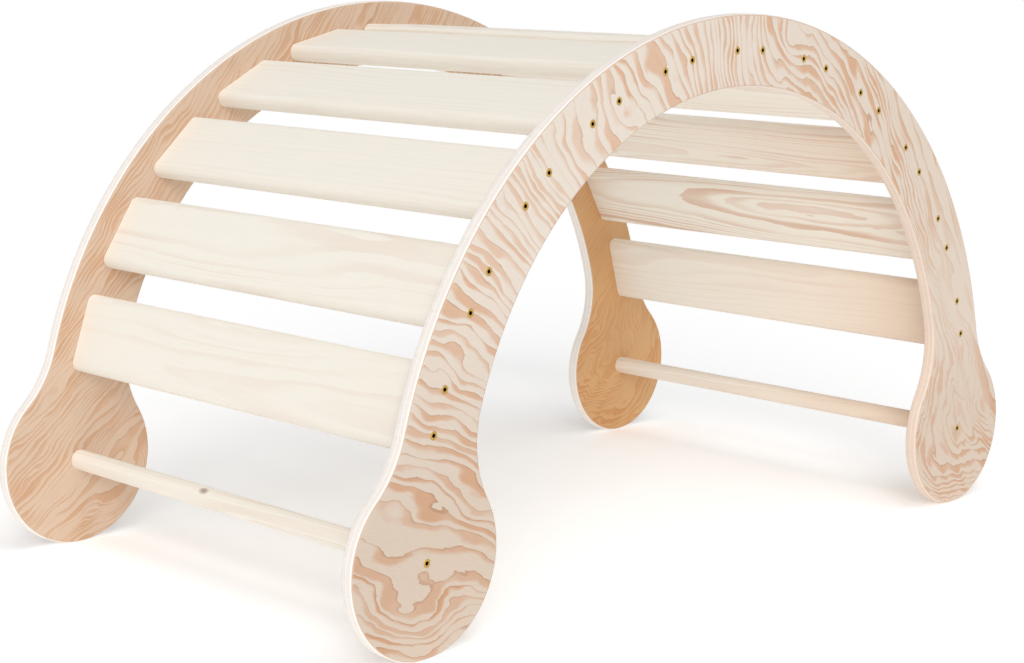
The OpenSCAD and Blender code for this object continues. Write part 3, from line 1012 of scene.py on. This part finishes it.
class ROCKER_OT_stage(bpy.types.Operator):
    """Make the floor, the lamps, the white surroundings and the camera"""
    bl_idname = "rocker.stage"
    bl_label = "Stage"

    def execute(self, context):
        settings = context.scene.rocker_arch.stage
        bm = bmesh.new()
        bmesh.ops.create_circle(bm, segments=FLOOR_SIDES, radius=FLOOR_RADIUS, cap_ends=True)
        mesh = bpy.data.meshes.new("studio_floor")
        bm.to_mesh(mesh)
        bm.free()
        mesh.materials.append(studio_floor("matt_white_paper", settings))
        floor = bpy.data.objects.new("studio_floor", mesh)
        context.collection.objects.link(floor)

        for name, source, strength, width in LAMPS:
            lamp = bpy.data.lights.new(name, "SUN")
            lamp.energy = strength
            lamp.angle = math.radians(width)
            holder = bpy.data.objects.new(name, lamp)
            holder.rotation_euler = Vector(source).to_track_quat("Z", "Y").to_euler()
            context.collection.objects.link(holder)

        world = bpy.data.worlds.new("white_room")
        world.use_nodes = True
        tree = world.node_tree
        tree.nodes.clear()
        level = add(tree, "ShaderNodeMapRange", {0: seen_directly(tree), 3: WORLD_LEVEL, 4: 1.0})[0]
        light = add(tree, "ShaderNodeBackground", {"Color": WHITE, "Strength": level})[0]
        add(tree, "ShaderNodeOutputWorld", {"Surface": light})
        context.scene.world = world

        azimuth, elevation, roll = (math.radians(angle) for angle in CAMERA_TURN)
        turn = Matrix.Rotation(azimuth, 4, "Z") @ Matrix.Rotation(math.pi / 2 - elevation, 4, "X")
        view = bpy.data.cameras.new("camera")
        view.sensor_width = CAMERA_SENSOR
        view.lens = CAMERA_LENS
        camera = bpy.data.objects.new("camera", view)
        camera.matrix_world = Matrix.Translation(CAMERA_PLACE) @ turn @ Matrix.Rotation(roll, 4, "Z")
        context.collection.objects.link(camera)
        context.scene.camera = camera
        context.scene.view_settings.view_transform = "Standard"
        return {"FINISHED"}


# ---- add-on ----

class ROCKER_PT_sidebar(bpy.types.Panel):
    """Lists the settings and the operators"""
    bl_idname = "ROCKER_PT_sidebar"
    bl_label = "Rocker Arch"
    bl_space_type = "VIEW_3D"
    bl_region_type = "UI"
    bl_category = "Rocker Arch"

    def draw(self, context):
        settings = context.scene.rocker_arch
        for group in (settings.panels, settings.pine, settings.screws, settings.stage):
            box = self.layout.box()
            for name in group.__annotations__:
                box.prop(group, name)
        for operator in OPERATORS:
            self.layout.operator(operator.bl_idname)


SETTINGS = (PanelSettings, PineSettings, ScrewSettings, StageSettings, RockerArchSettings)
OPERATORS = (ROCKER_OT_side_panels, ROCKER_OT_slats, ROCKER_OT_rods, ROCKER_OT_screws, ROCKER_OT_stage)


def register():
    for kind in (*SETTINGS, *OPERATORS, ROCKER_PT_sidebar):
        bpy.utils.register_class(kind)
    bpy.types.Scene.rocker_arch = PointerProperty(type=RockerArchSettings)


def unregister():
    del bpy.types.Scene.rocker_arch
    for kind in reversed((*SETTINGS, *OPERATORS, ROCKER_PT_sidebar)):
        bpy.utils.unregister_class(kind)


def main():
    """Makes every piece and the stage."""
    register()
    bpy.ops.rocker.side_panels()
    bpy.ops.rocker.slats()
    bpy.ops.rocker.rods()
    bpy.ops.rocker.screws()
    bpy.ops.rocker.stage()


if __name__ == "__main__":
    main()
